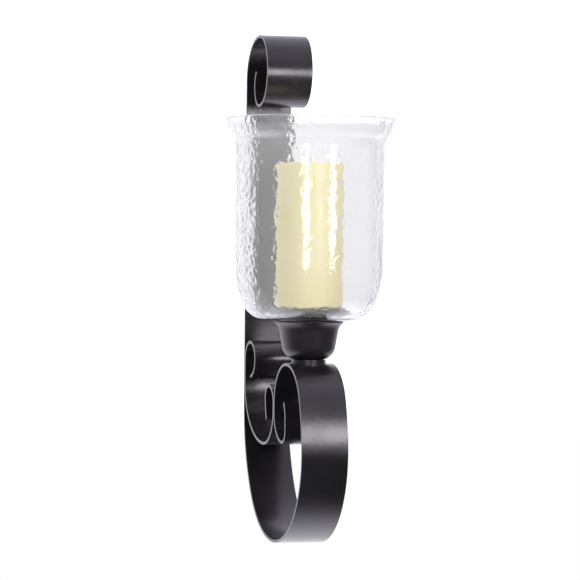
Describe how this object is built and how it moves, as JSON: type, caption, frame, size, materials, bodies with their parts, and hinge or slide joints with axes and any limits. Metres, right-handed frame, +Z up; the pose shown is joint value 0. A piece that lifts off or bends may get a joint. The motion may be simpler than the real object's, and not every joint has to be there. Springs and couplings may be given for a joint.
{
  "type": "wall sconce candle holder",
  "caption": "Wall sconce in scrolled flat bar: a bell-shaped cup holds a flared hammered-glass hurricane with a pillar candle.",
  "frame": {"origin": "centre of the keyhole's round hole, on the face of the band that lies on the wall", "axes": "+Z up along the wall run, +Y into the wall so the front faces -Y, +X across the band's width; the object is symmetric about X = 0"},
  "size_m": [0.1785, 0.2445, 0.5385],
  "materials": {
    "black_band": "satin black powder coat on flat steel bar",
    "black_c_scroll": "satin black powder coat on flat steel bar",
    "black_rivets": "satin black paint",
    "black_cup": "semi-gloss black powder coat on spun steel",
    "black_foot": "satin black powder coat",
    "zinc_screw": "zinc plated",
    "zinc_washers": "zinc plated",
    "zinc_nut": "zinc plated",
    "clear_glass": "clear hammered glass",
    "cream_wax": "smooth cream wax",
    "cotton_wick": "braided cotton"
  },
  "bodies": {
    "bracket": {"main_band": "black_band", "c_scroll": "black_c_scroll", "wall_rivets": "black_rivets", "front_rivets": "black_rivets", "cup": "black_cup", "cup_foot": "black_foot", "cup_screw": "zinc_screw", "screw_washer": "zinc_washers", "saddle_washer": "zinc_washers", "lock_washer": "zinc_washers", "cup_nut": "zinc_nut"},
    "glass": {"hurricane_glass": "clear_glass"},
    "candle": {"candle_wax": "cream_wax", "wick": "cotton_wick"}
  },
  "joints": [
    {"name": "glass_lift", "type": "slide", "parent": "bracket", "child": "glass", "axis": [0, -0.7071, 0.7071], "range_m": [0, 0.12]},
    {"name": "candle_lift", "type": "slide", "parent": "glass", "child": "candle", "axis": [0, 0, 1], "range_m": [0, 0.205]}
  ]
}
